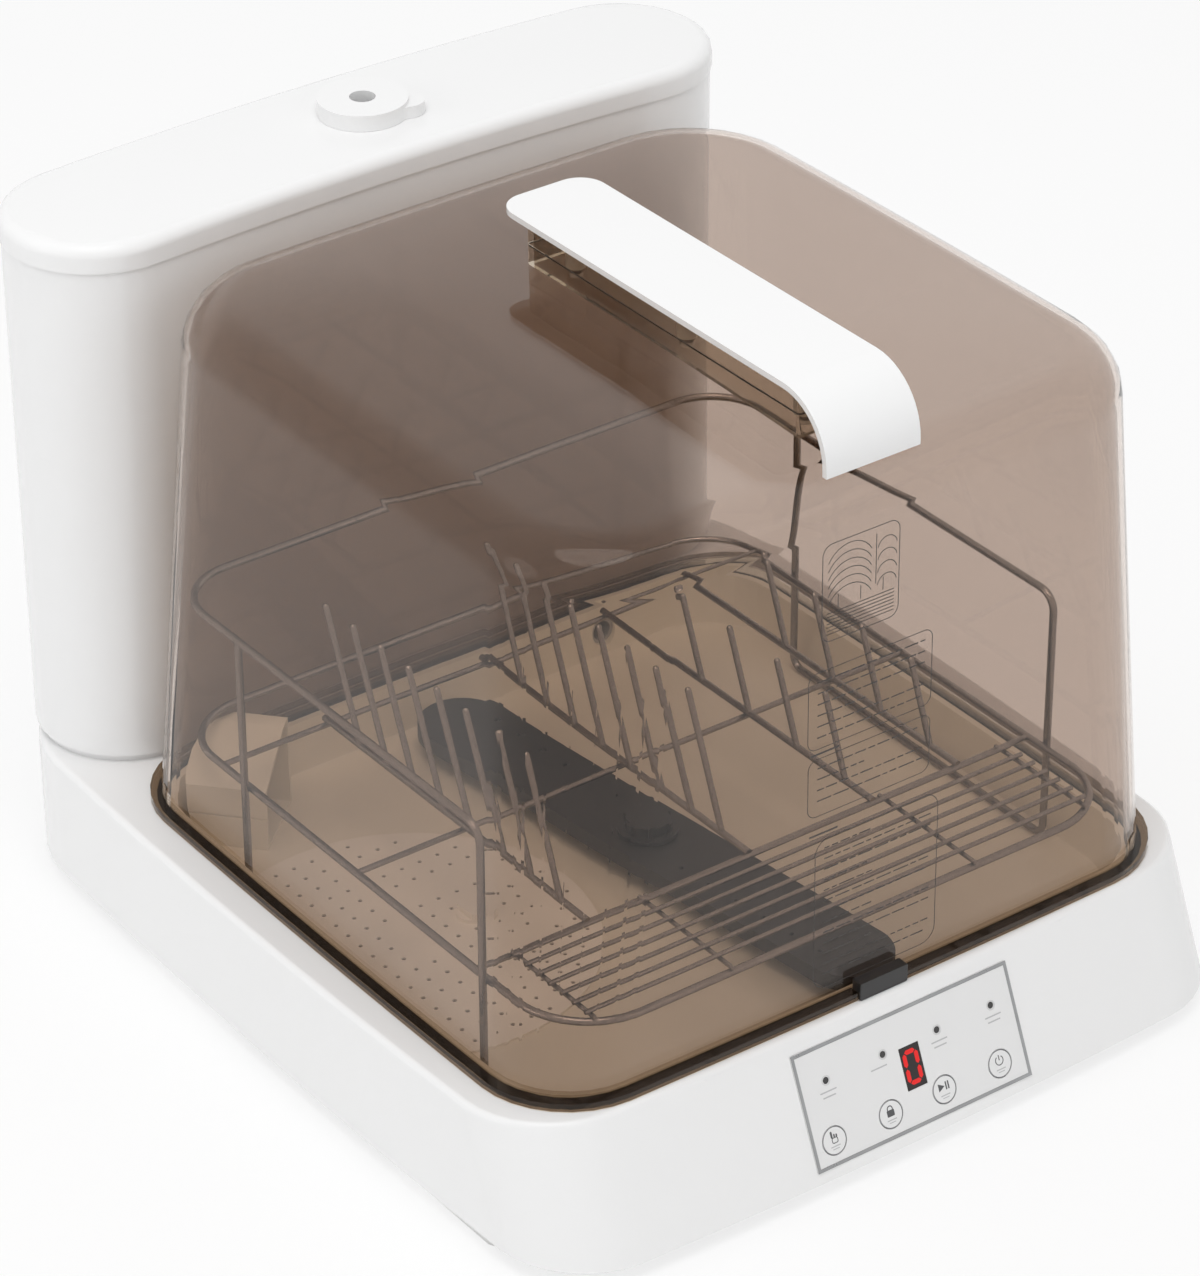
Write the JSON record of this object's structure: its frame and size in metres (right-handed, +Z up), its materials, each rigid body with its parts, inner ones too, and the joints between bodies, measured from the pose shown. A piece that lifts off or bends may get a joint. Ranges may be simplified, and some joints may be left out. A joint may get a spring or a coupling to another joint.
{
  "type": "countertop dishwasher",
  "caption": "Compact worktop dishwasher: low base with a sloping key panel, lift-off clear smoke hood with a bridge handle, wire dish rack, spray arm, and a water tank standing behind.",
  "frame": {"origin": "on the table, under the middle of the machine's bounding box", "axes": "+X to the user's right, -Y out of the front panel, +Z up"},
  "size_m": [0.398, 0.4724, 0.363],
  "materials": {
    "white_plastic": "smooth glossy white, moulded",
    "cover_plastic": "fine matt grain",
    "foot_rubber": "soft pale rubber",
    "tub_plastic": "smooth warm white, moulded",
    "seal_rubber": "matt black",
    "smoke_clear": "clear smoke-brown moulding, polished",
    "dark_plastic": "dark grey, fine grain",
    "arm_plastic": "dark grey, smooth matt",
    "duct_plastic": "mid grey, fine grain",
    "rotor_plastic": "black moulding",
    "wire_steel": "polished drawn wire",
    "filter_steel": "perforated sheet, brushed",
    "bright_steel": "zinc plated",
    "hose_rubber": "pale grey hose",
    "board_green": "coated circuit board",
    "panel_white": "satin film and moulding",
    "key_white": "satin white keys",
    "display_black": "dark window",
    "lamp_red": "tinted lamp lens",
    "float_orange": "light moulded float"
  },
  "bodies": {
    "base": {"base_housing": "white_plastic", "bottom_cover": "cover_plastic", "feet": "foot_rubber", "case_screws": "bright_steel", "tub": "tub_plastic", "rim_seal": "seal_rubber", "sump_cup": "duct_plastic", "hub_post": "duct_plastic", "drying_outlet": "tub_plastic", "fan_housing": "duct_plastic", "fan_motor": "bright_steel", "air_heater": "bright_steel", "wash_pump_housing": "duct_plastic", "wash_pump_motor": "bright_steel", "water_heater": "bright_steel", "wash_hose": "hose_rubber", "suction_hose": "hose_rubber", "drain_pump_housing": "duct_plastic", "drain_pump_motor": "bright_steel", "drain_hose": "hose_rubber", "drain_spigot": "duct_plastic", "inlet_valve": "cover_plastic", "fill_hose": "hose_rubber", "cord_gland": "dark_plastic", "main_board": "board_green", "panel_carrier": "panel_white", "panel_film": "panel_white", "display_board": "board_green", "display_module": "display_black", "mode_lamps": "lamp_red", "hood_switch": "dark_plastic", "tank_body": "white_plastic", "tank_seal": "seal_rubber", "float_stem": "cover_plastic"},
    "hood": {"hood_shell": "smoke_clear", "handle_riser": "smoke_clear", "handle_strip": "white_plastic", "handle_screws": "bright_steel", "latch_tab": "dark_plastic"},
    "rack": {"rack_side_frames": "wire_steel", "rack_top_rail": "wire_steel", "rack_shelf_ring": "wire_steel", "rack_prongs": "wire_steel", "rack_front_shelf": "wire_steel"},
    "spray_arm": {"spray_arm": "arm_plastic", "arm_nut": "arm_plastic"},
    "filter": {"filter_plate": "filter_steel", "filter_basket": "filter_steel", "filter_knob": "duct_plastic"},
    "tank_lid": {"tank_lid": "white_plastic", "lid_gasket": "seal_rubber"},
    "fill_cap": {"fill_cap": "white_plastic"},
    "tank_float": {"tank_float": "float_orange"},
    "fan_wheel": {"fan_rotor": "rotor_plastic"},
    "wash_pump_wheel": {"wash_pump_rotor": "rotor_plastic"},
    "drain_pump_wheel": {"drain_pump_rotor": "rotor_plastic"},
    "select_key": {"select_key": "key_white"},
    "lock_key": {"lock_key": "key_white"},
    "start_key": {"start_key": "key_white"},
    "power_key": {"power_key": "key_white"}
  },
  "joints": [
    {"name": "hood_lift", "type": "slide", "parent": "base", "child": "hood", "axis": [0, 0, 1], "range_m": [0, 0.295]},
    {"name": "rack_lift", "type": "slide", "parent": "base", "child": "rack", "axis": [0, 0, 1], "range_m": [0, 0.025]},
    {"name": "arm_spin", "type": "hinge", "parent": "base", "child": "spray_arm", "pos_m": [0, -0.03425, 0.055], "axis": [0, 0, 1], "continuous": true},
    {"name": "filter_lift", "type": "slide", "parent": "base", "child": "filter", "axis": [0, 0, 1], "range_m": [0, 0.042]},
    {"name": "lid_lift", "type": "slide", "parent": "base", "child": "tank_lid", "axis": [0, 0, 1], "range_m": [0, 0.05]},
    {"name": "cap_turn", "type": "hinge", "parent": "tank_lid", "child": "fill_cap", "pos_m": [0.0025, 0.19125, 0.3431], "axis": [0, 0, 1], "range_deg": [0, 90]},
    {"name": "float_rise", "type": "slide", "parent": "base", "child": "tank_float", "axis": [0, 0, 1], "range_m": [0, 0.016]},
    {"name": "fan_spin", "type": "hinge", "parent": "base", "child": "fan_wheel", "pos_m": [-0.118, 0.19225, 0.06], "axis": [0, 0, 1], "continuous": true},
    {"name": "wash_pump_spin", "type": "hinge", "parent": "base", "child": "wash_pump_wheel", "pos_m": [0, 0.18725, 0.037], "axis": [1, 0, 0], "continuous": true},
    {"name": "drain_pump_spin", "type": "hinge", "parent": "base", "child": "drain_pump_wheel", "pos_m": [-0.092, -0.09125, 0.028], "axis": [0, -1, 0], "continuous": true},
    {"name": "select_press", "type": "slide", "parent": "base", "child": "select_key", "axis": [0, 0.9176, -0.3976], "range_m": [0, 0.0005], "stiffness_N_per_m": 600, "springref_m": -0.0004},
    {"name": "lock_press", "type": "slide", "parent": "base", "child": "lock_key", "axis": [0, 0.9176, -0.3976], "range_m": [0, 0.0005], "stiffness_N_per_m": 600, "springref_m": -0.0004},
    {"name": "start_press", "type": "slide", "parent": "base", "child": "start_key", "axis": [0, 0.9176, -0.3976], "range_m": [0, 0.0005], "stiffness_N_per_m": 600, "springref_m": -0.0004},
    {"name": "power_press", "type": "slide", "parent": "base", "child": "power_key", "axis": [0, 0.9176, -0.3976], "range_m": [0, 0.0005], "stiffness_N_per_m": 600, "springref_m": -0.0004}
  ]
}
